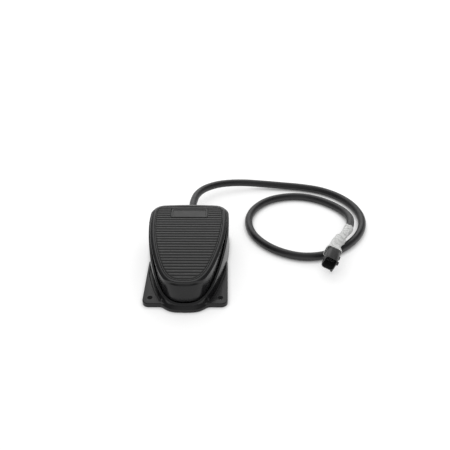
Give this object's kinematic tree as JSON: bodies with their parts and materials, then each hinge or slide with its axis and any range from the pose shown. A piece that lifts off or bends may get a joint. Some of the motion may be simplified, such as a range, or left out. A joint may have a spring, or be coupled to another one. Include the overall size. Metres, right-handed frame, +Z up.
{
  "type": "foot switch",
  "caption": "Low foot switch with a ribbed hinged treadle on a screw-down base, a thick looped rubber cord and a sealed rectangular connector on its end.",
  "frame": {"origin": "on the floor under the middle of the base", "axes": "+Z up, +Y towards the hinge and the cord's gland, -Y towards the treadle's tip, +X to the right of a user who faces +Y"},
  "size_m": [0.2884, 0.2703, 0.0463],
  "materials": {
    "housing_black": "satin moulded black plastic",
    "ribbed_rubber": "matt black moulded rubber with cross ribs",
    "plate_black": "matt, bare",
    "soft_rubber": "matt black rubber",
    "cord_rubber": "satin black rubber jacket, no print",
    "gland_black": "satin black plastic",
    "connector_black": "satin black plastic",
    "grey_sleeve": "milky translucent soft sleeve",
    "steel": "plated steel",
    "spring_steel": "plain spring steel",
    "brass": "plain brass",
    "switch_plastic": "grey-blue moulded plastic",
    "white_nylon": "natural nylon",
    "wire_red": "wire insulation",
    "wire_black": "wire insulation",
    "wire_white": "wire insulation",
    "wire_green": "wire insulation"
  },
  "bodies": {
    "base": {"base_housing": "housing_black", "bottom_cover": "housing_black", "cover_gasket": "soft_rubber", "cover_screw_1": "steel", "cover_screw_2": "steel", "cover_screw_3": "steel", "cover_screw_4": "steel", "front_bumper_left": "soft_rubber", "front_bumper_right": "soft_rubber", "rear_bumper_left": "soft_rubber", "rear_bumper_right": "soft_rubber", "retaining_clip_left": "spring_steel", "retaining_clip_right": "spring_steel", "pivot_shaft": "steel", "return_spring": "spring_steel", "switch_body": "switch_plastic", "switch_bracket": "steel", "bracket_screw_left": "steel", "bracket_screw_right": "steel", "switch_screw_left": "steel", "switch_screw_right": "steel", "gland_body": "gland_black", "gland_locknut": "gland_black", "gland_cap": "gland_black", "gland_seal": "soft_rubber", "gland_washer": "soft_rubber", "cord_tail": "cord_rubber", "switch_wire_1": "wire_red", "switch_wire_2": "wire_black", "switch_wire_3": "wire_white", "switch_wire_4": "wire_green", "cord": "cord_rubber", "sleeve_front": "grey_sleeve", "sleeve_rear": "grey_sleeve", "connector_housing": "connector_black", "connector_wedge": "connector_black", "connector_seal": "soft_rubber", "contact_pin_1": "brass", "contact_pin_2": "brass", "contact_pin_3": "brass", "contact_pin_4": "brass", "connector_wire_1": "wire_red", "connector_wire_2": "wire_black", "connector_wire_3": "wire_white", "connector_wire_4": "wire_green"},
    "treadle": {"treadle_shell": "housing_black", "tread_pad": "ribbed_rubber", "name_plate": "plate_black", "hinge_bush_left": "white_nylon", "hinge_bush_right": "white_nylon", "actuator_screw": "steel", "actuator_nut": "steel"},
    "plunger": {"switch_plunger": "white_nylon"}
  },
  "joints": [
    {"name": "treadle_press", "type": "hinge", "parent": "base", "child": "treadle", "pos_m": [0, 0.058, 0.02], "axis": [1, 0, 0], "range_deg": [0, 2.4], "stiffness_Nm_per_rad": 1.5, "springref_deg": -20.05, "deforming": ["return_spring"]},
    {"name": "plunger_press", "type": "slide", "parent": "base", "child": "plunger", "axis": [0, 0, -1], "range_m": [0, 0.0025], "stiffness_N_per_m": 200, "springref_m": -0.003}
  ],
  "couplings": [
    {"joint": "plunger_press", "follows": "treadle_press", "m_per_rad": 0.058}
  ]
}
